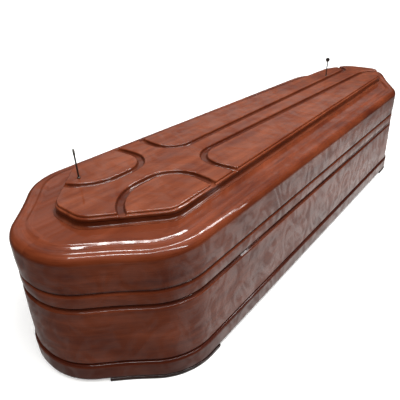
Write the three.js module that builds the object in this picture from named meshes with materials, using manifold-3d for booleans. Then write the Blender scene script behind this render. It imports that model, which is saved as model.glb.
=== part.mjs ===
// A tapered wooden coffin with hollowed cut corners: a hollow case on a plinth and four low feet, a hollow
// lid with a raised panel carved with a cross, and two thin lid screws that stand in the panel. Millimetres,
// +Z up.
// The head end is at -Y and the foot end at +Y. The origin is under the middle, on the floor.
import * as THREE from "three";
import { mergeVertices } from "three/addons/utils/BufferGeometryUtils.js";
import Module from "manifold-3d";

const wasm = await Module();
wasm.setup();

// Plan of the coffin where the lid meets the case. Places along it are counted from the head end.
const LENGTH = 2030;
const HEAD_HALF_WIDTH = 298;
const FOOT_HALF_WIDTH = 255;
const HEAD_CHAMFER_LENGTH = 205;
const FOOT_CHAMFER_LENGTH = 335;
const HEAD_NOSE_HALF_WIDTH = 80;
const FOOT_NOSE_HALF_WIDTH = 67;
const CORNER_RADIUS = 172;
const FOOT_NOSE_RADIUS = 108;
const CUT_HOLLOW = 6;
const CUT_HOLLOW_RADIUS = 800;

// Heights, each counted from the piece below.
const FEET_HEIGHT = 11;
const PLINTH_HEIGHT = 49;
const CASE_HEIGHT = 269.5;
const LID_SIDE_HEIGHT = 105.5;
const PANEL_THICKNESS = 31;
const REST_GAP = 0.3;

// Boards
const WALL_INNER_INSET = 22;
const FLOOR_THICKNESS = 18;
const LID_TOP_THICKNESS = 18;

// Case mouldings: a rounded band under the lid, a groove below it, and a wall that leans out to the plinth.
const BAND_HEIGHT = 46;
const BAND_INSET = -0.5;
const BAND_EDGE = 6;
const GROOVE_HALF_HEIGHT = 4.5;
const GROOVE_INSET = 8.5;
const WALL_TOP_INSET = -1.5;
const WALL_FOOT_INSET = -6;
const WALL_BELLY = 1.2;
const WALL_FOOT_EDGE = 6;
const REBATE_INSET = 2;
const PLINTH_INSET = -11;
const PLINTH_EDGE = 6;

// Feet: flat pieces that follow the cut corners.
const FOOT_PROUD = 1.5;
const FOOT_INNER_INSET = 42;
const FOOT_SIDE_REACH = 34;
const FOOT_NOSE_REACH = 26;

// Lid: an upright face, a rolled rim, a shallow hollow and a flat ledge.
const LID_EDGE = 5;
const LID_SWELL = 0.8;
const RIM_RADIUS = 24;
const RIM_DROP = 3.5;
const SHOULDER_INSET = 50;
const HOLLOW_INSET = 31;

// Raised panel on the lid
const PANEL_HEAD_INSET = 134;
const PANEL_FOOT_INSET = 130;
const PANEL_HEAD_HALF_WIDTH = 199;
const PANEL_FOOT_HALF_WIDTH = 135;
const PANEL_HEAD_CHAMFER = 160;
const PANEL_FOOT_CHAMFER = 123;
const PANEL_HEAD_NOSE = 51;
const PANEL_FOOT_NOSE = 75;
const PANEL_CORNER_RADIUS = 58;
const PANEL_FLARE = 14;
const PANEL_NOSE_PROUD = 6.5;

// Cross: four coved grooves part the panel into the cross and four rounded fields.
const CARVE_HALF_WIDTH = 12;
const CARVE_DEPTH = 10;
const NECK_HALF = 37;
const ARM_FOOT_HALF = 46;
const CROSSBAR_FROM_HEAD = 495.5;
const CROSSBAR_HALF = 43.5;
const FIELD_RADIUS = 85;
const BAR_FLARE_RADIUS = 320;
const BAR_FLARE_WIDTH = 140;
const HEAD_FLARE_RADIUS = 140;
const HEAD_FLARE_START = 330;
const FOOT_FLARE_RADIUS = 80;
const FOOT_FLARE_BEFORE_END = 255;

// Lid screws: where each stands, and how its flat head is turned, in degrees about its shaft.
const SCREW_RADIUS = 2.4;
const SCREW_STAND = 85;
const SCREW_DEPTH = 15;
const SCREW_CLEARANCE = 0.3;
const SCREW_HEAD_RADIUS = 9;
const SCREW_HEAD_THICKNESS = 6;
const COLLAR_RADIUS = 5;
const COLLAR_HEIGHT = 3;
const SCREWS = [
  { name: "lid_screw_head_end", across: -117, along: 251, turn: -30 },
  { name: "lid_screw_foot_end", across: -64, along: 1632, turn: 24 },
];

// Facets
const CORNER_STEPS = 5;
const HOLLOW_STEPS = 2;
const RIM_STEPS = 5;
const CARVE_STEPS = 9;

// Levels worked out from the heights
const PLINTH_BOTTOM = FEET_HEIGHT;
const PLINTH_TOP = PLINTH_BOTTOM + PLINTH_HEIGHT;
const CASE_TOP = FEET_HEIGHT + CASE_HEIGHT;
const LID_BOTTOM = CASE_TOP + REST_GAP;
const LEDGE = CASE_TOP + LID_SIDE_HEIGHT;
const PANEL_BOTTOM = LEDGE + REST_GAP;
const PANEL_TOP = LEDGE + PANEL_THICKNESS;
const BAND_BOTTOM = CASE_TOP - BAND_HEIGHT;

const COFFIN_PLAN = {
  start: 0,
  length: LENGTH,
  headHalf: HEAD_HALF_WIDTH,
  footHalf: FOOT_HALF_WIDTH,
  headChamfer: HEAD_CHAMFER_LENGTH,
  footChamfer: FOOT_CHAMFER_LENGTH,
  headNose: HEAD_NOSE_HALF_WIDTH,
  footNose: FOOT_NOSE_HALF_WIDTH,
  radius: CORNER_RADIUS,
  footNoseRadius: FOOT_NOSE_RADIUS,
  hollow: CUT_HOLLOW,
};
const PANEL_PLAN = {
  start: PANEL_HEAD_INSET,
  length: LENGTH - PANEL_HEAD_INSET - PANEL_FOOT_INSET,
  headHalf: PANEL_HEAD_HALF_WIDTH,
  footHalf: PANEL_FOOT_HALF_WIDTH,
  headChamfer: PANEL_HEAD_CHAMFER,
  footChamfer: PANEL_FOOT_CHAMFER,
  headNose: PANEL_HEAD_NOSE,
  footNose: PANEL_FOOT_NOSE,
  radius: PANEL_CORNER_RADIUS,
  footNoseRadius: PANEL_CORNER_RADIUS,
  hollow: 0,
};

// The middle of a cut corner, pushed inwards. Its negative radius curves it inwards.
function hollowBetween(from, to, depth) {
  const cut = to.place.clone().sub(from.place);
  const inwards = new THREE.Vector2(-cut.y, cut.x).setLength(depth);
  return { place: from.place.clone().addScaledVector(cut, 0.5).add(inwards), radius: -CUT_HOLLOW_RADIUS };
}

// The corners of a plan with their radii, anticlockwise from the head nose's right corner.
function planCorners(plan) {
  const corner = (x, y, radius) => ({ place: new THREE.Vector2(x, y + plan.start), radius });
  const headNose = corner(plan.headNose, 0, plan.radius);
  const headSide = corner(plan.headHalf, plan.headChamfer, plan.radius);
  const footSide = corner(plan.footHalf, plan.length - plan.footChamfer, plan.radius);
  const footNose = corner(plan.footNose, plan.length, plan.footNoseRadius);
  const head = plan.hollow > 0 ? [hollowBetween(headNose, headSide, plan.hollow)] : [];
  const foot = plan.hollow > 0 ? [hollowBetween(footSide, footNose, plan.hollow)] : [];
  const right = [headNose, ...head, headSide, footSide, ...foot, footNose];
  const left = right.map(({ place, radius }) => ({ place: new THREE.Vector2(-place.x, place.y), radius }));
  return [...right, ...left.reverse()];
}

// The rounded corners of a plan moved inwards by an inset: one list of arc points for each corner.
function cornerArcs(plan, inset) {
  const corners = planCorners(plan);
  const count = corners.length;
  const along = corners.map((c, i) => corners[(i + 1) % count].place.clone().sub(c.place).normalize());
  return corners.map(({ place, radius }, i) => {
    const before = along[(i + count - 1) % count];
    const after = along[i];
    const turn = Math.atan2(before.cross(after), before.dot(after));
    const inwards = new THREE.Vector2(-before.y - after.y, before.x + after.x).normalize();
    const centre = place.clone().addScaledVector(inwards, radius / Math.cos(turn / 2));
    const first = Math.atan2(-before.x, before.y);
    const steps = radius > 0 ? CORNER_STEPS : HOLLOW_STEPS;
    const arc = [];
    for (let step = 0; step <= steps; step += 1) {
      const angle = first + (turn * step) / steps;
      const spoke = new THREE.Vector2(Math.cos(angle), Math.sin(angle)).multiplyScalar(radius - inset);
      arc.push(spoke.add(centre));
    }
    return arc;
  });
}

function outline(plan, inset) {
  return cornerArcs(plan, inset).flat();
}

// One ring of points at a height
function ringAt(plan, inset, height) {
  return outline(plan, inset).map((p) => new THREE.Vector3(p.x, p.y, height));
}

function geometryFrom(positions, index) {
  const geometry = new THREE.BufferGeometry();
  geometry.setAttribute("position", new THREE.Float32BufferAttribute(positions, 3));
  geometry.setIndex(index);
  return geometry;
}

// A skin through rings of equal length, from the lowest outside ring on. It closes on itself or is capped.
function loft(rings, capped) {
  const size = rings[0].length;
  const index = [];
  const last = rings.length - 1;
  for (let level = 0; level < (capped ? last : rings.length); level += 1) {
    const next = (level + 1) % rings.length;
    for (let i = 0; i < size; i += 1) {
      const j = (i + 1) % size;
      index.push(level * size + i, level * size + j, next * size + j);
      index.push(level * size + i, next * size + j, next * size + i);
    }
  }
  if (capped) {
    for (let i = 1; i < size - 1; i += 1) {
      index.push(0, i + 1, i);
      index.push(last * size, last * size + i, last * size + i + 1);
    }
  }
  return geometryFrom(rings.flat().flatMap((p) => [p.x, p.y, p.z]), index);
}

// A profile is a list of [inset, height] pairs.
function sweepProfile(plan, profile, capped) {
  return loft(profile.map(([inset, height]) => ringAt(plan, inset, height)), capped);
}

function toSolid(geometry) {
  const bare = geometry.clone();
  bare.deleteAttribute("normal");
  bare.deleteAttribute("uv");
  const merged = mergeVertices(bare, 1e-4);
  const vertProperties = merged.getAttribute("position").array;
  const triVerts = new Uint32Array(merged.index.array);
  return new wasm.Manifold(new wasm.Mesh({ numProp: 3, vertProperties, triVerts }));
}

function toGeometry(solid) {
  const mesh = solid.getMesh();
  return geometryFrom(Array.from(mesh.vertProperties), Array.from(mesh.triVerts));
}

function finish(name, geometry, look) {
  geometry.computeVertexNormals();
  const mesh = new THREE.Mesh(geometry, new THREE.MeshStandardMaterial(look));
  mesh.name = name;
  return mesh;
}

// Points on an arc in plan, by angles in degrees
function planArc(centreX, centreY, radius, from, to) {
  const points = [];
  for (let step = 0; step <= CARVE_STEPS; step += 1) {
    const angle = THREE.MathUtils.degToRad(from + ((to - from) * step) / CARVE_STEPS);
    points.push(new THREE.Vector2(centreX + radius * Math.cos(angle), centreY + radius * Math.sin(angle)));
  }
  return points;
}

// The way a groove runs round one field, from the crossbar's end round the field's corner and along an arm.
// Sign is +1 towards the foot and -1 towards the head.
function grooveWay(sign, armFlare) {
  const barEdge = CROSSBAR_FROM_HEAD + sign * CROSSBAR_HALF;
  const turnX = NECK_HALF + FIELD_RADIUS;
  const spread = THREE.MathUtils.radToDeg(Math.asin(BAR_FLARE_WIDTH / BAR_FLARE_RADIUS));
  const barCentreY = barEdge + sign * BAR_FLARE_RADIUS;
  const bar = planArc(turnX, barCentreY, BAR_FLARE_RADIUS, sign * (-90 + spread), sign * -90);
  const corner = planArc(turnX, barEdge + sign * FIELD_RADIUS, FIELD_RADIUS, sign * -90, sign * -180);
  return [...bar, ...corner.slice(1), ...armFlare];
}

function headGrooveWay() {
  const flareX = NECK_HALF + HEAD_FLARE_RADIUS;
  return grooveWay(-1, planArc(flareX, HEAD_FLARE_START, HEAD_FLARE_RADIUS, 180, 265));
}

function footGrooveWay() {
  const flareX = ARM_FOOT_HALF + FOOT_FLARE_RADIUS;
  const flareY = LENGTH - FOOT_FLARE_BEFORE_END;
  return grooveWay(1, planArc(flareX, flareY, FOOT_FLARE_RADIUS, 180, 95));
}

// The cutter of one groove: a coved section carried along its way, reaching above the panel.
function carver(way, mirror) {
  const points = way.map((p) => new THREE.Vector2(mirror * p.x, p.y));
  const reach = 3;
  const section = [
    [CARVE_HALF_WIDTH + reach, reach],
    [-CARVE_HALF_WIDTH - reach, reach],
    [-CARVE_HALF_WIDTH, 0],
    [-0.68 * CARVE_HALF_WIDTH, -0.62 * CARVE_DEPTH],
    [-0.25 * CARVE_HALF_WIDTH, -CARVE_DEPTH],
    [0.25 * CARVE_HALF_WIDTH, -CARVE_DEPTH],
    [0.68 * CARVE_HALF_WIDTH, -0.62 * CARVE_DEPTH],
    [CARVE_HALF_WIDTH, 0],
  ];
  const rings = points.map((point, i) => {
    const from = points[Math.max(i - 1, 0)];
    const to = points[Math.min(i + 1, points.length - 1)];
    const along = to.clone().sub(from).normalize();
    return section.map(([side, rise]) => {
      return new THREE.Vector3(point.x - along.y * side, point.y + along.x * side, PANEL_TOP + rise);
    });
  });
  return toSolid(loft(rings, true));
}

function screwHole({ across, along }) {
  const height = SCREW_DEPTH * 2;
  const radius = SCREW_RADIUS + SCREW_CLEARANCE;
  const hole = new THREE.CylinderGeometry(radius, radius, height, 16);
  hole.rotateX(Math.PI / 2);
  hole.translate(across, along, PANEL_TOP);
  return toSolid(hole);
}

// Case walls with the band, the groove under it and a rebate for the plinth
function caseWalls() {
  const grooveHeight = BAND_BOTTOM;
  const wallTop = grooveHeight - GROOVE_HALF_HEIGHT * 1.6;
  const wallFoot = PLINTH_TOP + WALL_FOOT_EDGE;
  const bellyHeight = (wallTop + wallFoot) / 2;
  const bellyInset = (WALL_TOP_INSET + WALL_FOOT_INSET) / 2 - WALL_BELLY;
  const bandMiddle = (CASE_TOP + BAND_BOTTOM) / 2;
  const profile = [
    [REBATE_INSET, PLINTH_BOTTOM],
    [REBATE_INSET, PLINTH_TOP],
    [WALL_FOOT_INSET + 3, PLINTH_TOP],
    [WALL_FOOT_INSET + 0.8, PLINTH_TOP + WALL_FOOT_EDGE * 0.45],
    [WALL_FOOT_INSET, wallFoot],
    [bellyInset, bellyHeight],
    [WALL_TOP_INSET, wallTop],
    [GROOVE_INSET - 2.5, grooveHeight - GROOVE_HALF_HEIGHT * 0.7],
    [GROOVE_INSET, grooveHeight],
    [BAND_INSET + 3, grooveHeight + GROOVE_HALF_HEIGHT],
    [BAND_INSET + 0.6, grooveHeight + GROOVE_HALF_HEIGHT * 2],
    [BAND_INSET - 0.6, bandMiddle],
    [BAND_INSET + 0.8, CASE_TOP - BAND_EDGE],
    [BAND_INSET + 2.6, CASE_TOP - BAND_EDGE * 0.35],
    [BAND_INSET + BAND_EDGE, CASE_TOP],
    [WALL_INNER_INSET, CASE_TOP],
    [WALL_INNER_INSET, PLINTH_BOTTOM],
  ];
  return sweepProfile(COFFIN_PLAN, profile, false);
}

function plinth() {
  const top = PLINTH_TOP - REST_GAP;
  const inner = REBATE_INSET - REST_GAP;
  const profile = [
    [inner, PLINTH_BOTTOM],
    [PLINTH_INSET + 1.5, PLINTH_BOTTOM],
    [PLINTH_INSET, PLINTH_BOTTOM + 4],
    [PLINTH_INSET, top - PLINTH_EDGE],
    [PLINTH_INSET + 1.7, top - PLINTH_EDGE * 0.3],
    [PLINTH_INSET + PLINTH_EDGE, top],
    [inner, top],
  ];
  return sweepProfile(COFFIN_PLAN, profile, false);
}

function floorBoard() {
  const inset = WALL_INNER_INSET + REST_GAP;
  const profile = [
    [inset, PLINTH_BOTTOM],
    [inset, PLINTH_BOTTOM + FLOOR_THICKNESS],
  ];
  return sweepProfile(COFFIN_PLAN, profile, true);
}

// A foot runs from a little way along the side, round the side corner and the hollow, to near the nose.
// Corner is the place of its side corner in the plan's list, and noseWay is +1 or -1 towards its nose.
function cornerFoot(corner, noseWay) {
  const arcs = [PLINTH_INSET - FOOT_PROUD, FOOT_INNER_INSET].map((inset) => {
    const all = cornerArcs(COFFIN_PLAN, inset);
    const arcAt = (steps) => {
      const arc = all[(corner + steps * noseWay + all.length) % all.length];
      return noseWay > 0 ? arc : arc.slice().reverse();
    };
    const side = arcAt(0);
    const hollow = arcAt(1);
    const noseStart = arcAt(2)[0];
    const sideEnd = arcAt(-1).at(-1);
    const onSide = side[0].clone().sub(side[0].clone().sub(sideEnd).setLength(FOOT_SIDE_REACH));
    const cut = noseStart.clone().sub(hollow.at(-1));
    const onCut = noseStart.clone().sub(cut.setLength(FOOT_NOSE_REACH));
    return [onSide, ...side, ...hollow, onCut];
  });
  const shape = new THREE.Shape([...arcs[0], ...arcs[1].reverse()]);
  return new THREE.ExtrudeGeometry(shape, { depth: FEET_HEIGHT - REST_GAP, bevelEnabled: false });
}

// The hollow lid, from the ceiling inside down to its lower edge, up the face, over the rim and to the ledge
function lidShell() {
  const rimHeight = LEDGE - RIM_DROP - RIM_RADIUS;
  const rim = [];
  for (let step = 0; step <= RIM_STEPS; step += 1) {
    const angle = (Math.PI / 2) * (step / RIM_STEPS);
    rim.push([RIM_RADIUS * (1 - Math.cos(angle)), rimHeight + RIM_RADIUS * Math.sin(angle)]);
  }
  const profile = [
    [WALL_INNER_INSET + 4, LEDGE - LID_TOP_THICKNESS],
    [WALL_INNER_INSET, LEDGE - LID_TOP_THICKNESS - 4],
    [WALL_INNER_INSET, LID_BOTTOM],
    [LID_EDGE, LID_BOTTOM],
    [LID_EDGE * 0.3, LID_BOTTOM + LID_EDGE * 0.3],
    [0, LID_BOTTOM + LID_EDGE],
    [-LID_SWELL * 0.7, LID_BOTTOM + LID_EDGE * 2.6],
    [-LID_SWELL, (LID_BOTTOM + rimHeight) / 2],
    ...rim,
    [HOLLOW_INSET, LEDGE - RIM_DROP - 0.8],
    [SHOULDER_INSET - 10, LEDGE - RIM_DROP * 0.6],
    [SHOULDER_INSET - 4, LEDGE - RIM_DROP * 0.12],
    [SHOULDER_INSET, LEDGE],
  ];
  return sweepProfile(COFFIN_PLAN, profile, true);
}

// The raised panel: a rounded top edge, a step to a small bead, and a cove that spreads on to the ledge
function lidPanel() {
  const profile = [
    [-PANEL_FLARE, PANEL_BOTTOM],
    [-PANEL_FLARE * 0.62, PANEL_BOTTOM + PANEL_THICKNESS * 0.12],
    [-PANEL_FLARE * 0.36, PANEL_BOTTOM + PANEL_THICKNESS * 0.3],
    [-PANEL_NOSE_PROUD * 0.8, PANEL_TOP - PANEL_THICKNESS * 0.5],
    [-PANEL_NOSE_PROUD, PANEL_TOP - PANEL_THICKNESS * 0.36],
    [-PANEL_NOSE_PROUD * 0.7, PANEL_TOP - PANEL_THICKNESS * 0.22],
    [-1.2, PANEL_TOP - PANEL_THICKNESS * 0.16],
    [0, PANEL_TOP - PANEL_THICKNESS * 0.1],
    [1.2, PANEL_TOP - PANEL_THICKNESS * 0.03],
    [4.5, PANEL_TOP],
  ];
  let solid = toSolid(sweepProfile(PANEL_PLAN, profile, true));
  for (const way of [headGrooveWay(), footGrooveWay()]) {
    for (const mirror of [1, -1]) {
      solid = solid.subtract(carver(way, mirror));
    }
  }
  for (const screw of SCREWS) {
    solid = solid.subtract(screwHole(screw));
  }
  return toGeometry(solid);
}

// A thin shaft with a low collar and a flat rounded head, on its own axis
function lidScrew({ across, along, turn }) {
  const headRatio = SCREW_HEAD_THICKNESS / (2 * SCREW_HEAD_RADIUS);
  const headHeight = SCREW_STAND - SCREW_HEAD_RADIUS;
  const tip = REST_GAP - SCREW_DEPTH;
  const lathe = [
    [0, tip],
    [SCREW_RADIUS, tip + SCREW_RADIUS],
    [SCREW_RADIUS, REST_GAP],
    [COLLAR_RADIUS, REST_GAP],
    [COLLAR_RADIUS * 0.8, COLLAR_HEIGHT],
    [SCREW_RADIUS, COLLAR_HEIGHT + 1.5],
    [SCREW_RADIUS, headHeight],
    [0, headHeight],
  ];
  const shaft = new THREE.LatheGeometry(lathe.map(([r, h]) => new THREE.Vector2(r, h)), 12);
  shaft.rotateX(Math.PI / 2);
  const head = new THREE.SphereGeometry(SCREW_HEAD_RADIUS, 14, 9);
  head.rotateX(Math.PI / 2);
  head.scale(1, headRatio, 1);
  head.translate(0, 0, headHeight);
  head.rotateZ(THREE.MathUtils.degToRad(turn));
  const geometry = toGeometry(toSolid(shaft).add(toSolid(head)));
  geometry.translate(across, along, PANEL_TOP);
  return geometry;
}

const LACQUER = { color: 0x8a4a30, roughness: 0.18, metalness: 0 };
const DARK_LACQUER = { color: 0x5a2a1a, roughness: 0.22, metalness: 0 };
const BARE_WOOD = { color: 0x9a7650, roughness: 0.7, metalness: 0 };
const FOOT_WOOD = { color: 0x2a1814, roughness: 0.45, metalness: 0 };
const STEEL = { color: 0x55544f, roughness: 0.35, metalness: 0.9 };

const coffin = new THREE.Group();
coffin.position.y = -LENGTH / 2;
coffin.add(finish("case_walls", caseWalls(), LACQUER));
coffin.add(finish("floor_board", floorBoard(), BARE_WOOD));
coffin.add(finish("plinth_moulding", plinth(), DARK_LACQUER));
coffin.add(finish("foot_head_right", cornerFoot(2, -1), FOOT_WOOD));
coffin.add(finish("foot_head_left", cornerFoot(9, 1), FOOT_WOOD));
coffin.add(finish("foot_foot_right", cornerFoot(3, 1), FOOT_WOOD));
coffin.add(finish("foot_foot_left", cornerFoot(8, -1), FOOT_WOOD));
coffin.add(finish("lid_shell", lidShell(), LACQUER));
coffin.add(finish("lid_panel", lidPanel(), LACQUER));
for (const screw of SCREWS) {
  coffin.add(finish(screw.name, lidScrew(screw), STEEL));
}

export default coffin;
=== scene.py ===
"""A tapered wooden coffin in high-gloss red-brown lacquer, in a plain pale studio.

The mouldings are run as a joiner runs them: a section is drawn point by point, then carried round the
coffin's plan, straight runs extruded and rounded corners spun. Plans, levels and drawn lines are in mm, which
MM turns into metres; lamps, the camera and whatever is read back from a mesh are in metres.
"""
import math

import bpy
from mathutils import Matrix, Vector


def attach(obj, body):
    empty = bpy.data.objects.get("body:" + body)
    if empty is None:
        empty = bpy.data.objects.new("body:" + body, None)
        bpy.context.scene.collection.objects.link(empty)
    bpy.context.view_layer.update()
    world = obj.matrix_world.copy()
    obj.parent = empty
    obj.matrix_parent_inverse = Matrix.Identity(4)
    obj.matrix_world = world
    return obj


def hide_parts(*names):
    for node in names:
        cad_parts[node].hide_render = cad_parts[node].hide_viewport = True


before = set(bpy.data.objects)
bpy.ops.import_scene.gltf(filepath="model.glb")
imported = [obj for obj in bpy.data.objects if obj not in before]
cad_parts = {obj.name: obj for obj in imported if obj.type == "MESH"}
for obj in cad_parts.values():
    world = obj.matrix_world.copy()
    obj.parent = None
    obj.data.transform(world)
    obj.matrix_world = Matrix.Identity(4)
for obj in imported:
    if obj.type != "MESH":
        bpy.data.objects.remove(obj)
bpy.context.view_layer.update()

MM = 0.001
WELD = 0.00002
FILL_RING = 0.004

# Plan, as in the model: places along it are counted from the head end, in mm.
LENGTH = 2030
COFFIN_PLAN = {
    "start": 0, "length": LENGTH, "head_half": 298, "foot_half": 255, "head_cut": 205, "foot_cut": 335,
    "head_nose": 80, "foot_nose": 67, "radius": 172, "foot_nose_radius": 108, "hollow": 6, "hollow_radius": 800,
}
PANEL_PLAN = {
    "start": 134, "length": LENGTH - 134 - 130, "head_half": 199, "foot_half": 135, "head_cut": 160,
    "foot_cut": 123, "head_nose": 51, "foot_nose": 75, "radius": 58, "foot_nose_radius": 58, "hollow": 0,
}

# Levels in mm
PLINTH_BOTTOM = 11
PLINTH_TOP = 60
CASE_TOP = 280.5
LID_BOTTOM = 280.8
LEDGE = 386
PANEL_BOTTOM = 386.3
PANEL_TOP = 417

TURN_STEP = math.radians(3)


def corners_of(plan):
    """The rounded corners of a plan, anticlockwise from the head nose's right one, in metres.

    A cut corner that is hollow has one more in its middle, whose radius is negative as it curves inwards.
    """
    radius = plan["radius"]
    right = [
        (plan["head_nose"], 0, radius),
        (plan["head_half"], plan["head_cut"], radius),
        (plan["foot_half"], plan["length"] - plan["foot_cut"], radius),
        (plan["foot_nose"], plan["length"], plan["foot_nose_radius"]),
    ]
    if plan["hollow"]:
        for place in (3, 1):
            (ax, ay, _), (bx, by, _) = right[place - 1], right[place]
            cut = Vector((bx - ax, by - ay))
            inwards = Vector((-cut.y, cut.x)).normalized() * plan["hollow"]
            right.insert(place, ((ax + bx) / 2 + inwards.x, (ay + by) / 2 + inwards.y, -plan["hollow_radius"]))
    shift = plan["start"] - LENGTH / 2
    spots = [(Vector((x, y + shift)) * MM, r * MM) for x, y, r in right]
    spots += [(Vector((-p.x, p.y)), r) for p, r in reversed(spots)]
    corners = []
    for i, (point, radius) in enumerate(spots):
        before = (point - spots[i - 1][0]).normalized()
        after = (spots[(i + 1) % len(spots)][0] - point).normalized()
        turn = math.atan2(before.x * after.y - before.y * after.x, before.dot(after))
        inwards = (Vector((-before.y, before.x)) + Vector((-after.y, after.x))).normalized()
        centre = point + inwards * radius / math.cos(turn / 2)
        corners.append({
            "centre": centre, "radius": radius, "turn": turn,
            "enter": centre + Vector((before.y, -before.x)) * radius,
            "leave": centre + Vector((after.y, -after.x)) * radius,
            "outwards": Vector((after.y, -after.x)),
        })
    return corners


def way_past(plan, first, count, short=0.0, lead=None, tail=None):
    """A run past some corners: where it starts, which way is out there, and its moves.

    A move is a straight vector, or a turn as its centre and angle. Lead and tail are the straight runs before
    and after; left out, each is the whole straight there, less the length it stops short.
    """
    corners = corners_of(plan)
    size = len(corners)
    before = corners[(first - 1) % size]
    along = corners[first]["enter"] - before["leave"]
    if lead is None:
        lead = along.length - short
    moves = [along.normalized() * lead]
    for step in range(count):
        corner, following = corners[(first + step) % size], corners[(first + step + 1) % size]
        moves += [(corner["centre"], corner["turn"]), following["enter"] - corner["leave"]]
    if tail is None:
        tail = moves[-1].length - short
    moves[-1] = moves[-1].normalized() * tail
    return corners[first]["enter"] - moves[0], before["outwards"], moves


def rounded(points):
    """A drawn line of (across, up, radius) in mm, its corners rounded to their radii."""
    line = []
    for i, (x, y, radius) in enumerate(points):
        here = Vector((x, y))
        if radius == 0 or i in (0, len(points) - 1):
            line.append(here)
            continue
        back = Vector(points[i - 1][:2]) - here
        on = Vector(points[i + 1][:2]) - here
        turn = math.pi - back.angle(on)
        reach = min(radius * math.tan(turn / 2), 0.49 * back.length, 0.49 * on.length)
        steps = max(2, math.ceil(turn / math.radians(9)))
        a, b = here + back.normalized() * reach, here + on.normalized() * reach
        true_radius = reach / math.tan(turn / 2)
        middle = here + (back.normalized() + on.normalized()).normalized() * true_radius / math.cos(turn / 2)
        start = a - middle
        sign = 1 if start.x * (b - middle).y - start.y * (b - middle).x > 0 else -1
        for step in range(steps + 1):
            angle = sign * turn * step / steps
            cos, sin = math.cos(angle), math.sin(angle)
            line.append(middle + Vector((start.x * cos - start.y * sin, start.x * sin + start.y * cos)))
    return line


def carried(name, section, moves, closed, axis=(0, 0, 1), turn_step=TURN_STEP):
    """Draws a section of points in space and carries it along the moves in edit mode."""
    bpy.ops.object.select_all(action="DESELECT")
    bpy.ops.mesh.primitive_plane_add(size=MM, location=(0, 0, 0))
    piece = bpy.context.object
    piece.name = name
    bpy.ops.object.mode_set(mode="EDIT")
    bpy.ops.mesh.select_mode(type="VERT")
    bpy.ops.mesh.select_all(action="SELECT")
    bpy.ops.mesh.merge(type="CENTER")
    bpy.ops.transform.translate(value=section[0])
    drawn = section + section[:1] if closed else section
    for here, there in zip(drawn, drawn[1:]):
        bpy.ops.mesh.extrude_region_move(TRANSFORM_OT_translate={"value": there - here})
    bpy.ops.mesh.select_all(action="SELECT")
    bpy.ops.mesh.remove_doubles(threshold=WELD)
    for move in moves:
        if isinstance(move, tuple):
            centre, turn = move
            steps = max(2, math.ceil(abs(turn) / turn_step))
            bpy.ops.mesh.spin(steps=steps, angle=-turn, center=centre.to_3d(), axis=axis)
        elif move.length > WELD:
            bpy.ops.mesh.extrude_region_move(TRANSFORM_OT_translate={"value": move.to_3d()})
    bpy.ops.mesh.select_all(action="SELECT")
    bpy.ops.mesh.remove_doubles(threshold=WELD)
    bpy.ops.object.mode_set(mode="OBJECT")
    return piece


def close_ends(piece, ring=0.0):
    """Fills each open edge of a piece, and gives a wide flat fill a narrow ring so that it shades flat."""
    bpy.ops.object.mode_set(mode="EDIT")
    bpy.ops.mesh.select_mode(type="EDGE")
    bpy.ops.mesh.select_all(action="DESELECT")
    bpy.ops.mesh.select_non_manifold(extend=False)
    bpy.ops.mesh.edge_face_add()
    if ring:
        bpy.ops.mesh.inset(thickness=ring)
    bpy.ops.object.mode_set(mode="OBJECT")


def face_outwards(piece):
    """Selects a piece alone and turns its faces outwards."""
    bpy.ops.object.select_all(action="DESELECT")
    bpy.context.view_layer.objects.active = piece
    piece.select_set(True)
    bpy.ops.object.mode_set(mode="EDIT")
    bpy.ops.mesh.select_all(action="SELECT")
    bpy.ops.mesh.normals_make_consistent(inside=False)
    bpy.ops.object.mode_set(mode="OBJECT")


def finished(piece, sharp=32):
    """Turns the faces outwards, shades the piece and lets its wide faces lead the shading."""
    face_outwards(piece)
    bpy.ops.object.shade_smooth_by_angle(angle=math.radians(sharp))
    weighted = piece.modifiers.new("wide faces lead", "WEIGHTED_NORMAL")
    weighted.keep_sharp = True
    weighted.weight = 100
    bpy.ops.object.modifier_apply(modifier=weighted.name)
    return piece


def at_start(line, start, out):
    """Stands a drawn line of (inset, height) in mm at the start of a run."""
    return [(start - out * p.x * MM).to_3d() + Vector((0, 0, p.y * MM)) for p in line]


def moulding(name, plan, line, closed):
    """Runs a drawn line of (inset, height, radius) all round a plan, from the foot's left cut corner."""
    count = len(corners_of(plan))
    start, out, moves = way_past(plan, count // 2 + 1, count, tail=0.0)
    return carried(name, at_start(rounded(line), start, out), moves, closed)


def perimeter(corners, point):
    """Where a point is by a plan's edge: how far along, how far inside, the whole length, and the way out."""
    best = None
    travelled = 0
    for i, corner in enumerate(corners):
        offset = point - corner["centre"]
        first = corner["enter"] - corner["centre"]
        angle = math.atan2(first.x * offset.y - first.y * offset.x, first.dot(offset))
        angle = min(max(angle, min(corner["turn"], 0)), max(corner["turn"], 0))
        cos, sin = math.cos(angle), math.sin(angle)
        spoke = Vector((first.x * cos - first.y * sin, first.x * sin + first.y * cos))
        out = spoke.normalized() * math.copysign(1, corner["radius"])
        options = [(travelled + angle * corner["radius"], corner["centre"] + spoke, out)]
        travelled += corner["turn"] * corner["radius"]
        straight = corners[(i + 1) % len(corners)]["enter"] - corner["leave"]
        share = min(max((point - corner["leave"]).dot(straight) / straight.length_squared, 0), 1)
        nearest = corner["leave"] + straight * share
        options.append((travelled + share * straight.length, nearest, corner["outwards"]))
        travelled += straight.length
        for run, place, out in options:
            away = (place - point).length
            if best is None or away < best[0] - 1e-9:
                best = (away, run, (place - point).dot(out), out)
    return best[1], best[2], travelled, best[3]


def paint_crease_shade(piece, lines):
    """Marks painted shade in the creases: a dark band round each height, given with how far it reaches, in mm."""
    mark = piece.data.attributes.new("painted_crease_shade", "FLOAT", "POINT")
    for vertex in piece.data.vertices:
        depths = [2 * (1 - abs(vertex.co.z / MM - height) / reach) for height, reach in lines]
        mark.data[vertex.index].value = min(max(0, *depths), 1)


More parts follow.
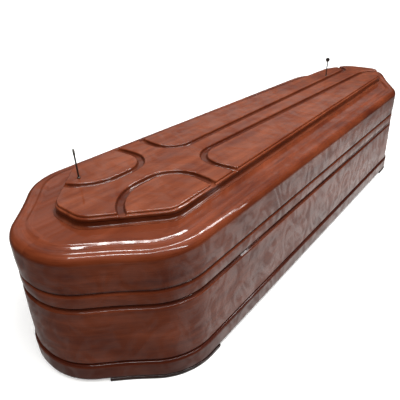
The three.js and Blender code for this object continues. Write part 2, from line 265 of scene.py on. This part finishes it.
def lay_grain_round(piece, plan):
    """Writes the grain map of a moulding: metres along its run, and metres over its section."""
    corners = corners_of(plan)
    mesh = piece.data
    spots = {}
    for vertex in mesh.vertices:
        run, inset, whole, _ = perimeter(corners, vertex.co.xy)
        spots[vertex.index] = (run, vertex.co.z + inset)
    grain = mesh.uv_layers.new(name="grain")
    for face in mesh.polygons:
        runs = [spots[v][0] for v in face.vertices]
        wraps = max(runs) - min(runs) > whole / 2
        for loop in face.loop_indices:
            run, over = spots[mesh.loops[loop].vertex_index]
            grain.data[loop].uv = (run + (whole if wraps and run < whole / 2 else 0), over)


def lay_grain_along(piece):
    """Writes the grain map of a board that lies along the coffin."""
    mesh = piece.data
    grain = mesh.uv_layers.new(name="grain")
    for loop in mesh.loops:
        x, y, z = mesh.vertices[loop.vertex_index].co
        grain.data[loop.index].uv = (y, x + z)


# Case: a rounded band, a groove, and a wall that leans out to the plinth, with a rebate behind the plinth.
WALL_INNER = 22
WALL_FOOT = 62
GROOVE_MIDDLE = 234
case = moulding("case_mouldings", COFFIN_PLAN, [
    (2, PLINTH_BOTTOM, 0.5), (2, PLINTH_TOP, 0.5), (-3, PLINTH_TOP, 1.5), (-6, PLINTH_TOP + 6, 6),
    (-4.9, 144, 900), (-1.5, 227, 5), (8.5, 230.8, 2.2), (8.5, 236.5, 2.5), (0.6, 240.5, 5),
    (-1.2, 257, 60), (-0.3, 273.5, 14), (4.0, CASE_TOP, 5), (WALL_INNER, CASE_TOP, 0.8),
    (WALL_INNER, PLINTH_BOTTOM, 0.8),
], closed=True)
# The groove dies away towards the foot: its walls move out to the face of the wall, in metres.
GROOVE_OUTER = -0.0013
GROOVE_LEVELS = (0.2275, 0.2408)
GROOVE_INSETS = (-0.001, 0.012)
FADE_START = -0.7
FADE_LENGTH = 1.2
FADE_MOST = 0.7
case_corners = corners_of(COFFIN_PLAN)
for vertex in case.data.vertices:
    if GROOVE_LEVELS[0] < vertex.co.z < GROOVE_LEVELS[1]:
        _, inset, _, out = perimeter(case_corners, vertex.co.xy)
        if GROOVE_INSETS[0] < inset < GROOVE_INSETS[1]:
            share = FADE_MOST * min(max((vertex.co.y - FADE_START) / FADE_LENGTH, 0), 1)
            vertex.co.xy += out * (inset - GROOVE_OUTER) * share
finished(case)
lay_grain_round(case, COFFIN_PLAN)
# Painted shade: a dark band round the wall's foot at the plinth, round the groove, and at the seam under the lid.
paint_crease_shade(case, [(WALL_FOOT, 6), (GROOVE_MIDDLE, 8.5), (CASE_TOP, 5.5)])

plinth = moulding("plinth_board", COFFIN_PLAN, [
    (1.7, PLINTH_BOTTOM, 0.5), (-10.2, PLINTH_BOTTOM, 2), (-11, 17, 4), (-11, 52.5, 4),
    (-8.4, PLINTH_TOP - 0.3, 4.5), (1.7, PLINTH_TOP - 0.3, 0.5),
], closed=True)
finished(plinth)
lay_grain_round(plinth, COFFIN_PLAN)
# Painted shade: dark bands along the plinth's bottom edge by the floor and its top edge under the wall.
paint_crease_shade(plinth, [(PLINTH_BOTTOM, 5), (PLINTH_TOP, 4)])

# Lid: an upright face, a rolled rim, a shallow hollow, a soft shoulder and the flat ledge.
LID_THICK = 18
RIM_CENTRE = (24, 358.5)
RIM_RADIUS = 24
RIM_TURNS = [math.radians(degrees) for degrees in range(0, 91, 5)]
roll = [
    (RIM_CENTRE[0] - RIM_RADIUS * math.cos(turn), RIM_CENTRE[1] + RIM_RADIUS * math.sin(turn), 0)
    for turn in RIM_TURNS
]
lid = moulding("lid_mouldings", COFFIN_PLAN, [
    (34, LEDGE - LID_THICK, 0), (WALL_INNER, LEDGE - LID_THICK, 4), (WALL_INNER, LID_BOTTOM, 0.8),
    (0.6, LID_BOTTOM, 3.5), (0, 288, 8), (-0.8, 316, 200), *roll, (31, 381.6, 22), (41, 383.6, 9),
    (48.5, LEDGE, 12), (56, LEDGE, 0),
], closed=False)
close_ends(lid, ring=FILL_RING)
finished(lid)
lay_grain_round(lid, COFFIN_PLAN)
# Painted shade: a dark band along the lid's bottom edge at the seam.
paint_crease_shade(lid, [(LID_BOTTOM, 6.5)])

# Panel: a feathered cove on the ledge, a roll, a small step and a rounded top edge.
panel = moulding("carved_panel", PANEL_PLAN, [
    (30, PANEL_BOTTOM, 0), (-14, PANEL_BOTTOM, 0.2), (-13.6, PANEL_BOTTOM + 1, 0.6), (-5.2, 389.5, 12),
    (-4.8, 399.5, 3), (-6.5, 402, 3), (-6.5, 409, 4.2), (-1.9, 410.8, 0.7), (-1.6, PANEL_TOP, 3.8),
    (12, PANEL_TOP, 0),
], closed=False)
close_ends(panel, ring=FILL_RING)
# Painted shade on the panel: a dark band round the middle of its edge, and grooves that are darker the deeper they
# go.
PANEL_EDGE_MIDDLE = 397
PANEL_FACE_INSET = 0.008
FULL_SHADE_DEPTH = 3
GROOVE_SHADE_MOST = 0.9
HEAD_SHADE_END = -0.5
HEAD_SHADE_FADE = 0.2

# Cross: coved grooves with soft lips part the panel into the cross and four rounded fields.
CARVE_HALF = 12
CARVE_DEPTH = 10
NECK_HALF = 37
FIELD_RADIUS = 85
BAR_FLARE_RADIUS = 320
BAR_FLARE_WIDTH = 140
BAR_FLARE_TURN = math.asin(BAR_FLARE_WIDTH / BAR_FLARE_RADIUS)
CROSSBAR = 495.5
CROSSBAR_HALF = 43.5
groove_line = rounded([
    (CARVE_HALF + 4, 4, 0), (-CARVE_HALF - 4, 4, 0), (-CARVE_HALF - 4, 0.35, 0.3), (-CARVE_HALF + 1.2, -0.9, 4),
    (-CARVE_HALF + 3.4, -CARVE_DEPTH, 6), (CARVE_HALF - 3.4, -CARVE_DEPTH, 6), (CARVE_HALF - 1.2, -0.9, 4),
    (CARVE_HALF + 4, 0.35, 0.3),
])


def groove_cutter(name, sign, arm_end, arm_half, flare_radius, flare_turn):
    """Runs the groove's section round one field, from the crossbar's end to the arm's. Sign +1 is footwards."""
    edge = (CROSSBAR + sign * CROSSBAR_HALF - LENGTH / 2) * MM
    turn_x = (NECK_HALF + FIELD_RADIUS) * MM
    bar_centre = Vector((turn_x, edge + sign * BAR_FLARE_RADIUS * MM))
    field_centre = Vector((turn_x, edge + sign * FIELD_RADIUS * MM))
    arm_start = field_centre.y
    arm_stop = (arm_end - LENGTH / 2) * MM
    drift = (arm_half - NECK_HALF) * MM
    out = Vector((math.sin(BAR_FLARE_TURN), -sign * math.cos(BAR_FLARE_TURN)))
    start = bar_centre + out * BAR_FLARE_RADIUS * MM
    section = [(start + out * p.x * MM).to_3d() + Vector((0, 0, (PANEL_TOP + p.y) * MM)) for p in groove_line]
    arm = Vector((drift, arm_stop - arm_start))
    flare_centre = Vector((NECK_HALF * MM + drift + flare_radius * MM, arm_stop))
    moves = [
        (bar_centre, -sign * BAR_FLARE_TURN), (field_centre, -sign * math.pi / 2), arm,
        (flare_centre, -sign * math.radians(flare_turn)),
    ]
    cutter = carried(name, section, moves, closed=True)
    close_ends(cutter)
    mirror = cutter.modifiers.new("both sides", "MIRROR")
    mirror.use_axis = (True, False, False)
    mirror.use_mirror_merge = False
    bpy.context.view_layer.objects.active = cutter
    bpy.ops.object.modifier_apply(modifier=mirror.name)
    face_outwards(cutter)
    return cutter


def carve(piece, cutter):
    """Cuts a cutter out of a piece and throws the cutter away."""
    cut = piece.modifiers.new("carve", "BOOLEAN")
    cut.operation = "DIFFERENCE"
    cut.solver = "EXACT"
    cut.object = cutter
    bpy.context.view_layer.objects.active = piece
    bpy.ops.object.modifier_apply(modifier=cut.name)
    bpy.data.objects.remove(cutter)


HEAD_ARM_END = 330
FOOT_ARM_END = LENGTH - 255
ARM_FOOT_HALF = 46
ARM_FLARE_DEGREES = 85
face_outwards(panel)
carve(panel, groove_cutter("head_grooves", -1, HEAD_ARM_END, NECK_HALF, 140, ARM_FLARE_DEGREES))
carve(panel, groove_cutter("foot_grooves", 1, FOOT_ARM_END, ARM_FOOT_HALF, 80, ARM_FLARE_DEGREES))
finished(panel)
lay_grain_along(panel)
# Painted shade: a dark band round the panel's edge, down its cove and roll.
paint_crease_shade(panel, [(PANEL_EDGE_MIDDLE, 13)])

# Painted shade in the panel's grooves grows with their depth, and round its edge the painted shade is half as dark
# away from the head.
panel_corners = corners_of(PANEL_PLAN)
panel_painted_shade = panel.data.attributes["painted_crease_shade"].data
for vertex in panel.data.vertices:
    if perimeter(panel_corners, vertex.co.xy)[1] > PANEL_FACE_INSET:
        depth = PANEL_TOP - vertex.co.z / MM
        panel_painted_shade[vertex.index].value = min(max(0, depth / FULL_SHADE_DEPTH), GROOVE_SHADE_MOST)
    else:
        nearness = min(max((HEAD_SHADE_END - vertex.co.y) / HEAD_SHADE_FADE, 0), 1)
        panel_painted_shade[vertex.index].value *= 0.5 + 0.5 * nearness

# Feet: flat pieces from a little way along each side, round its corner and cut, to near the nose.
FOOT_PROUD = 12.4
FOOT_INNER = 42
FOOT_ON_SIDE = 0.034
FOOT_SHORT_OF_NOSE = 0.026
FOOT_TOP = 10.7
feet = []
for name, first, nose_first in (
    ("head_right", 1, True), ("foot_right", 3, False), ("foot_left", 7, True), ("head_left", 9, False),
):
    if nose_first:
        start, out, moves = way_past(COFFIN_PLAN, first, 2, short=FOOT_SHORT_OF_NOSE, tail=FOOT_ON_SIDE)
    else:
        start, out, moves = way_past(COFFIN_PLAN, first, 2, short=FOOT_SHORT_OF_NOSE, lead=FOOT_ON_SIDE)
    line = rounded([
        (0, 0, 0), (-FOOT_PROUD, 0, 2.5), (-FOOT_PROUD, FOOT_TOP, 2), (FOOT_INNER, FOOT_TOP, 1),
        (FOOT_INNER, 0, 1), (0, 0, 0),
    ])[:-1]
    foot = carried("corner_foot_" + name, at_start(line, start, out), moves, closed=True)
    close_ends(foot)
    finished(foot)
    lay_grain_round(foot, COFFIN_PLAN)
    feet.append(foot)

# Lid screws: a thin shaft with a collar, and a flat head that stands on edge. Each is given by its place across
# and along the coffin, and by how many degrees its head is turned.
SCREWS = (("lid_screw_head_end", -117, 251, -30), ("lid_screw_foot_end", -64, 1632, 24))
SCREW_STAND = 85
SCREW_HEAD_RADIUS = 9
screws = []
for name, across, along, turned in SCREWS:
    foot_at = Vector((across, along - LENGTH / 2, PANEL_TOP)) * MM
    shaft_line = rounded([
        (0, -14.6, 0), (1.4, -14, 0.5), (2.4, -11, 1), (2.4, 0.4, 0), (5, 0.4, 0.6), (4.4, 2.6, 1.2),
        (2.4, 4.4, 1.5),
        (2.1, 40, 0), (2.1, SCREW_STAND - 12, 0), (0, SCREW_STAND - 12, 0),
    ])
    shaft = carried(
        name + "_turned", [foot_at + Vector((p.x, 0, p.y)) * MM for p in shaft_line],
        [(foot_at, math.tau)], closed=False, turn_step=math.radians(18),
    )
    middle = foot_at + Vector((0, 0, SCREW_STAND - SCREW_HEAD_RADIUS)) * MM
    axis = Vector((-math.sin(math.radians(turned)), math.cos(math.radians(turned)), 0))
    head_line = rounded([
        (0, -2.7, 0), (5, -2.9, 4), (SCREW_HEAD_RADIUS, -2.2, 2), (SCREW_HEAD_RADIUS, 2.2, 2), (5, 2.9, 4),
        (0, 2.7, 0),
    ])
    head = carried(
        name + "_head", [middle + (Vector((0, 0, p.x)) + axis * p.y) * MM for p in head_line],
        [(middle, math.tau)], closed=False, axis=axis, turn_step=math.radians(15),
    )
    bpy.ops.object.select_all(action="DESELECT")
    bpy.context.view_layer.objects.active = shaft
    shaft.select_set(True)
    head.select_set(True)
    bpy.ops.object.join()
    screws.append(finished(shaft, sharp=40))


def linear(code):
    """An sRGB hex colour as linear light."""
    values = [int(code[i:i + 2], 16) / 255 for i in (1, 3, 5)]
    return (*[v / 12.92 if v <= 0.04045 else ((v + 0.055) / 1.055) ** 2.4 for v in values], 1)


def add(tree, kind, inputs=None, stops=None, **settings):
    """Adds a node with its settings, its inputs as values or links, and its colour stops."""
    node = tree.nodes.new(kind)
    for name, value in settings.items():
        setattr(node, name, value)
    for name, value in (inputs or {}).items():
        if isinstance(value, bpy.types.NodeSocket):
            tree.links.new(value, node.inputs[name])
        else:
            node.inputs[name].default_value = value
    for i, (place, code) in enumerate(stops or ()):
        elements = node.color_ramp.elements
        element = elements[i] if i < 2 else elements.new(place)
        element.position = place
        element.color = linear(code)
    return node


def material(name):
    """A new material and its empty node tree."""
    made = bpy.data.materials.new(name)
    made.use_nodes = True
    tree = made.node_tree
    tree.nodes.clear()
    return made, tree


def lacquered_wood(name, dark, middle, light, figure):
    """Stained hardwood under a thick sprayed and polished lacquer: a deep clear gloss over soft straight grain.

    Growth bands are about 25 mm wide and pores 2 mm, drawn a little coarse so that they show, and the grain
    bends by up to about half of figure, in metres. The lacquer has sunk unevenly over the swirls of the figure,
    about 75 mm along and 110 mm across, so that its gloss is cloudy there. Round the mouldings' quirks a painted
    shade darkens the colour, which reads as a soft dark line.
    """
    made, tree = material(name)
    grain = add(tree, "ShaderNodeUVMap", uv_map="grain").outputs["UV"]
    bend = add(tree, "ShaderNodeMapping", {"Vector": grain, "Scale": (4.0, 12.0, 1)}).outputs["Vector"]
    bend = add(tree, "ShaderNodeTexNoise", {"Vector": bend, "Scale": 1.0, "Detail": 3.0, "Distortion": 0.8})
    bend = add(tree, "ShaderNodeVectorMath", {0: bend.outputs["Color"], 1: (0.5, 0.5, 0.5)}, operation="SUBTRACT")
    bend = add(tree, "ShaderNodeVectorMath", {0: bend.outputs[0], "Scale": figure}, operation="SCALE")
    bent = add(tree, "ShaderNodeVectorMath", {0: grain, 1: bend.outputs[0]}, operation="ADD").outputs[0]
    bands = add(tree, "ShaderNodeMapping", {"Vector": bent, "Scale": (2.2, 40.0, 1)}).outputs["Vector"]
    bands = add(tree, "ShaderNodeTexNoise", {"Vector": bands, "Scale": 1.0, "Detail": 5.0, "Roughness": 0.6})
    pores = add(tree, "ShaderNodeMapping", {"Vector": bent, "Scale": (22.0, 420.0, 1)}).outputs["Vector"]
    pores = add(tree, "ShaderNodeTexNoise", {"Vector": pores, "Scale": 1.0, "Detail": 2.0})
    mottle = add(tree, "ShaderNodeMapping", {"Vector": grain, "Scale": (7.0, 11.0, 1)}).outputs["Vector"]
    mottle = add(tree, "ShaderNodeTexNoise", {"Vector": mottle, "Scale": 1.0, "Detail": 3.0, "Roughness": 0.55})
    tone = 0.0
    for layer, share in ((bands, 0.4), (pores, 0.15), (mottle, 0.45)):
        tone = add(
            tree, "ShaderNodeMath", {0: layer.outputs["Fac"], 1: share, 2: tone}, operation="MULTIPLY_ADD"
        ).outputs[0]
    colour = add(tree, "ShaderNodeValToRGB", {"Fac": tone}, stops=[(0.38, dark), (0.50, middle), (0.62, light)])
    # Painted shade: where the mesh marks a crease, the colour is mixed up to 65% towards a dark red-brown.
    painted_shade_amount = add(tree, "ShaderNodeAttribute", attribute_name="painted_crease_shade").outputs["Fac"]
    painted_shade_amount = add(tree, "ShaderNodeMath", {0: painted_shade_amount, 1: 0.65}, operation="MULTIPLY").outputs[0]
    shaded_colour = add(
        tree, "ShaderNodeMix", {0: painted_shade_amount, 6: colour.outputs["Color"], 7: linear("#2E0A04")}, data_type="RGBA"
    ).outputs[2]
    swirl = add(tree, "ShaderNodeMapping", {"Vector": grain, "Scale": (13.0, 9.0, 1)}).outputs["Vector"]
    swirl = add(tree, "ShaderNodeTexNoise", {"Vector": swirl, "Scale": 1.0, "Detail": 4.0, "Distortion": 2.8})
    gloss = add(tree, "ShaderNodeMapRange", {
        "Value": swirl.outputs["Fac"], "From Min": 0.4, "From Max": 0.6, "To Min": 0.36, "To Max": 1.0,
    })
    ripple = add(tree, "ShaderNodeTexCoord").outputs["Object"]
    ripple = add(tree, "ShaderNodeTexNoise", {"Vector": ripple, "Scale": 14.0, "Detail": 2.0})
    ripple = add(tree, "ShaderNodeBump", {"Strength": 0.12, "Distance": 0.004, "Height": ripple.outputs["Fac"]})
    shader = add(tree, "ShaderNodeBsdfPrincipled", {
        "Base Color": shaded_colour, "Roughness": 0.4, "Specular IOR Level": 0.1,
        "Coat Weight": gloss.outputs[0], "Coat Roughness": 0.05, "Coat IOR": 1.5,
        "Normal": ripple.outputs["Normal"], "Coat Normal": ripple.outputs["Normal"],
    })
    add(tree, "ShaderNodeOutputMaterial", {"Surface": shader.outputs[0]})
    return made


def bare_pine(name):
    """Planed bare pine inside: pale, dull, with soft bands along the board."""
    made, tree = material(name)
    place = add(tree, "ShaderNodeTexCoord").outputs["Object"]
    place = add(tree, "ShaderNodeMapping", {"Vector": place, "Scale": (30.0, 1.5, 30.0)}).outputs["Vector"]
    bands = add(tree, "ShaderNodeTexNoise", {"Vector": place, "Scale": 1.0, "Detail": 5.0, "Distortion": 0.6})
    colour = add(
        tree, "ShaderNodeValToRGB", {"Fac": bands.outputs["Fac"]},
        stops=[(0.35, "#8A6238"), (0.5, "#B08A58"), (0.65, "#C6A26E")],
    )
    bump = add(tree, "ShaderNodeBump", {"Strength": 0.2, "Distance": 0.001, "Height": bands.outputs["Fac"]})
    shader = add(tree, "ShaderNodeBsdfPrincipled", {
        "Base Color": colour.outputs["Color"], "Roughness": 0.75, "Normal": bump.outputs["Normal"],
    })
    add(tree, "ShaderNodeOutputMaterial", {"Surface": shader.outputs[0]})
    return made


def blackened_steel(name):
    """Turned steel, chemically blackened: dark, satin, with faint rings from the lathe."""
    made, tree = material(name)
    place = add(tree, "ShaderNodeTexCoord").outputs["Object"]
    place = add(tree, "ShaderNodeMapping", {"Vector": place, "Scale": (60.0, 60.0, 900.0)}).outputs["Vector"]
    rings = add(tree, "ShaderNodeTexNoise", {"Vector": place, "Scale": 1.0, "Detail": 3.0})
    colour = add(
        tree, "ShaderNodeValToRGB", {"Fac": rings.outputs["Fac"]}, stops=[(0.35, "#2C2A28"), (0.65, "#5A5650")]
    )
    rough = add(tree, "ShaderNodeMapRange", {"Value": rings.outputs["Fac"], "To Min": 0.3, "To Max": 0.5})
    shader = add(tree, "ShaderNodeBsdfPrincipled", {
        "Base Color": colour.outputs["Color"], "Metallic": 0.85, "Roughness": rough.outputs[0],
    })
    add(tree, "ShaderNodeOutputMaterial", {"Surface": shader.outputs[0]})
    return made


MAIN_WOOD = lacquered_wood("lacquered_hardwood", "#54200F", "#6C3018", "#803E25", figure=0.02)
PANEL_WOOD = lacquered_wood("lacquered_hardwood_panel", "#622710", "#75371D", "#88462B", figure=0.02)
DARK_WOOD = lacquered_wood("lacquered_hardwood_dark", "#431809", "#562413", "#68321F", figure=0.02)
FOOT_WOOD = lacquered_wood("blackened_foot_wood", "#140806", "#24120E", "#361C14", figure=0.01)
PINE = bare_pine("bare_pine")
STEEL = blackened_steel("blackened_steel")

for piece, nodes, slot, look in (
    (case, ["case_walls"], "lacquered_wood", MAIN_WOOD),
    (lid, ["lid_shell"], "lacquered_wood", MAIN_WOOD),
    (panel, ["lid_panel"], "lacquered_wood", PANEL_WOOD),
    (plinth, ["plinth_moulding"], "dark_lacquered_wood", DARK_WOOD),
    (feet[0], ["foot_head_right"], "foot_wood", FOOT_WOOD),
    (feet[1], ["foot_foot_right"], "foot_wood", FOOT_WOOD),
    (feet[2], ["foot_foot_left"], "foot_wood", FOOT_WOOD),
    (feet[3], ["foot_head_left"], "foot_wood", FOOT_WOOD),
    (screws[0], ["lid_screw_head_end"], "screw_steel", STEEL),
    (screws[1], ["lid_screw_foot_end"], "screw_steel", STEEL),
):
    piece.data.materials.clear()
    piece.data.materials.append(look)
    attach(piece, "root")
    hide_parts(*nodes)

floor_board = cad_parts["floor_board"]
floor_board.data.materials.clear()
floor_board.data.materials.append(PINE)

# Camera at the photograph's place
AZIMUTH, ELEVATION, ROLL = (math.radians(a) for a in (41.578, 29.674, -2.561))
FOCAL_PIXELS = 413.5
IMAGE_PIXELS = 400
CAMERA_PLACE = (0.7962, -1.3037, 0.9074)
camera = bpy.data.cameras.new("camera")
camera.sensor_width = 36
camera.lens = FOCAL_PIXELS / IMAGE_PIXELS * camera.sensor_width
view = bpy.data.objects.new("camera", camera)
bpy.context.collection.objects.link(view)
back = Vector((
    math.sin(AZIMUTH) * math.cos(ELEVATION), -math.cos(AZIMUTH) * math.cos(ELEVATION), math.sin(ELEVATION),
))
side = Vector((math.cos(AZIMUTH), math.sin(AZIMUTH), 0))
up = back.cross(side)
turned_side = side * math.cos(ROLL) + up * math.sin(ROLL)
turned_up = up * math.cos(ROLL) - side * math.sin(ROLL)
axes = Matrix((turned_side, turned_up, back)).transposed().to_4x4()
view.matrix_world = Matrix.Translation(CAMERA_PLACE) @ axes
bpy.context.scene.camera = view

# Floor: a plain pale sweep that the gloss doesn't mirror, lit a little from within so that shadows stay faint.
bpy.ops.object.select_all(action="DESELECT")
bpy.ops.mesh.primitive_circle_add(vertices=64, radius=40, fill_type="NGON", location=(0, 0, 0))
floor = bpy.context.object
floor.name = "studio_floor"
white, white_tree = material("painted_studio_floor")
shade = add(white_tree, "ShaderNodeTexNoise", {"Scale": 3.0, "Detail": 2.0})
shade = add(white_tree, "ShaderNodeValToRGB", {"Fac": shade.outputs["Fac"]}, stops=[(0, "#FAFAF9"), (1, "#FDFDFC")])
white_shader = add(white_tree, "ShaderNodeBsdfPrincipled", {
    "Base Color": shade.outputs["Color"], "Roughness": 0.9, "Specular IOR Level": 0.0,
    "Emission Color": shade.outputs["Color"], "Emission Strength": 0.22,
})
add(white_tree, "ShaderNodeOutputMaterial", {"Surface": white_shader.outputs[0]})
floor.data.materials.append(white)
floor.visible_glossy = False
floor.visible_diffuse = False

# Daylight from overhead, soft and a little from the right, which the gloss doesn't mirror.
TOWARDS_SUN = Vector((0.36, -0.18, 0.92))
sun = bpy.data.lights.new("overhead_daylight", "SUN")
sun.energy = 3.4
sun.angle = math.radians(70)
sun_object = bpy.data.objects.new("overhead_daylight", sun)
bpy.context.collection.objects.link(sun_object)
sun_object.rotation_euler = TOWARDS_SUN.to_track_quat("Z", "Y").to_euler()
sun_object.visible_glossy = False


HEAD_END_OF_LID = Vector((0.15, -0.75, 0.38))


def strip_light(name, start, end, width, radiance):
    """A long narrow lamp between two places, facing the lid's head end, which only the gloss mirrors."""
    start, end = Vector(start), Vector(end)
    middle = (start + end) / 2
    along = (end - start).normalized()
    away = middle - HEAD_END_OF_LID
    away = (away - along * away.dot(along)).normalized()
    data = bpy.data.lights.new(name, "AREA")
    data.shape = "RECTANGLE"
    data.size, data.size_y = (end - start).length, width
    data.energy = radiance * math.pi * data.size * data.size_y
    made = bpy.data.objects.new(name, data)
    bpy.context.collection.objects.link(made)
    turned = Matrix((along, away.cross(along), away)).transposed().to_4x4()
    made.matrix_world = Matrix.Translation(middle) @ turned
    made.visible_diffuse = False


# Two runs of tube lamps give the two long highlights on the near rim. The first narrows along the right side.
FIRST_RUN = [
    (-2.1, -0.3, 3.5), (-1.27, -0.3, 4.0), (-0.95, 0.1, 4.1), (-0.6, 1.2, 3.9), (0.28, 1.9, 3.5), (1.3, 2.1, 3.1),
    (2.4, 2.3, 2.0),
]
WIDE_TUBE, SIDE_TUBE, THIN_TUBE = (0.42, 24), (0.34, 20), (0.12, 9)
FIRST_TUBES = [WIDE_TUBE] * 4 + [SIDE_TUBE, THIN_TUBE]
for i, (start, end, tube) in enumerate(zip(FIRST_RUN, FIRST_RUN[1:], FIRST_TUBES)):
    strip_light(f"long_lamp_{i}", start, end, *tube)
SECOND_RUN = [(0.0, -2.7, 3.95), (0.9, -2.2, 4.15), (1.3, -1.0, 4.3), (3.2, 0.2, 2.9)]
SECOND_TUBES = [(0.4, 22), (0.4, 22), (0.36, 22)]
for i, (start, end, tube) in enumerate(zip(SECOND_RUN, SECOND_RUN[1:], SECOND_TUBES)):
    strip_light(f"second_lamp_{i}", start, end, *tube)

# A soft lamp over the middle of the coffin, which the gloss doesn't mirror
soft_lamp = bpy.data.lights.new("middle_lamp", "AREA")
soft_lamp.shape = "RECTANGLE"
soft_lamp.size, soft_lamp.size_y = 1.0, 1.6
soft_lamp.energy = 36
soft_lamp_object = bpy.data.objects.new("middle_lamp", soft_lamp)
bpy.context.collection.objects.link(soft_lamp_object)
soft_lamp_object.location = (0.5, 0.3, 2.4)
soft_lamp_object.visible_glossy = False

# Surroundings that the gloss mirrors, slightly warm: a pale floor beyond the coffin, a pale wall behind it, and
# dim in front and overhead. The camera itself sees plain white.
DIM_ROOM = 0.03
WARM_WHITE = (1, 0.93, 0.9, 1)
PLAIN_WHITE = (1, 1, 1, 1)
world = bpy.data.worlds.new("studio")
world.use_nodes = True
bpy.context.scene.world = world
sky = world.node_tree
sky.nodes.clear()
direction = add(sky, "ShaderNodeTexCoord").outputs["Generated"]
parts = add(sky, "ShaderNodeSeparateXYZ", {"Vector": direction})


def fade(axis, start, end, low, high):
    """A soft change from one brightness to another along an axis of the direction."""
    return add(sky, "ShaderNodeMapRange", {
        "Value": parts.outputs[axis], "From Min": start, "From Max": end, "To Min": low, "To Max": high,
    }, interpolation_type="SMOOTHSTEP").outputs[0]


def product(*factors):
    """Brightnesses multiplied together."""
    value = factors[0]
    for factor in factors[1:]:
        value = add(sky, "ShaderNodeMath", {0: value, 1: factor}, operation="MULTIPLY").outputs[0]
    return value


floor_glow = product(
    fade("Z", -0.18, -0.42, 0, 1), fade("Y", -0.6, 0.3, 0.24, 0.77), fade("Y", 0.4, 0.65, 1, 1.3),
    fade("X", -0.8, -0.3, 0.5, 1),
)
wall_glow = product(
    fade("Z", 0.2, 0.3, 0, 1), fade("Z", 0.48, 0.62, 1, 0.2), fade("X", 0.1, -0.35, 0, 0.34),
    fade("Y", -0.2, 0.2, 0, 1),
)
total = add(sky, "ShaderNodeMath", {0: floor_glow, 1: wall_glow}, operation="ADD")
total = add(sky, "ShaderNodeMath", {0: total.outputs[0], 1: DIM_ROOM}, operation="ADD")
light_path = add(sky, "ShaderNodeLightPath")
seen = add(sky, "ShaderNodeMix", {
    "Factor": light_path.outputs["Is Camera Ray"], "A": total.outputs[0], "B": 1.0,
}, data_type="FLOAT")
warmth = add(sky, "ShaderNodeMix", {
    0: light_path.outputs["Is Camera Ray"], 6: WARM_WHITE, 7: PLAIN_WHITE,
}, data_type="RGBA").outputs[2]
background = add(sky, "ShaderNodeBackground", {"Color": warmth, "Strength": seen.outputs[0]})
add(sky, "ShaderNodeOutputWorld", {"Surface": background.outputs[0]})

bpy.context.scene.view_settings.view_transform = "Standard"
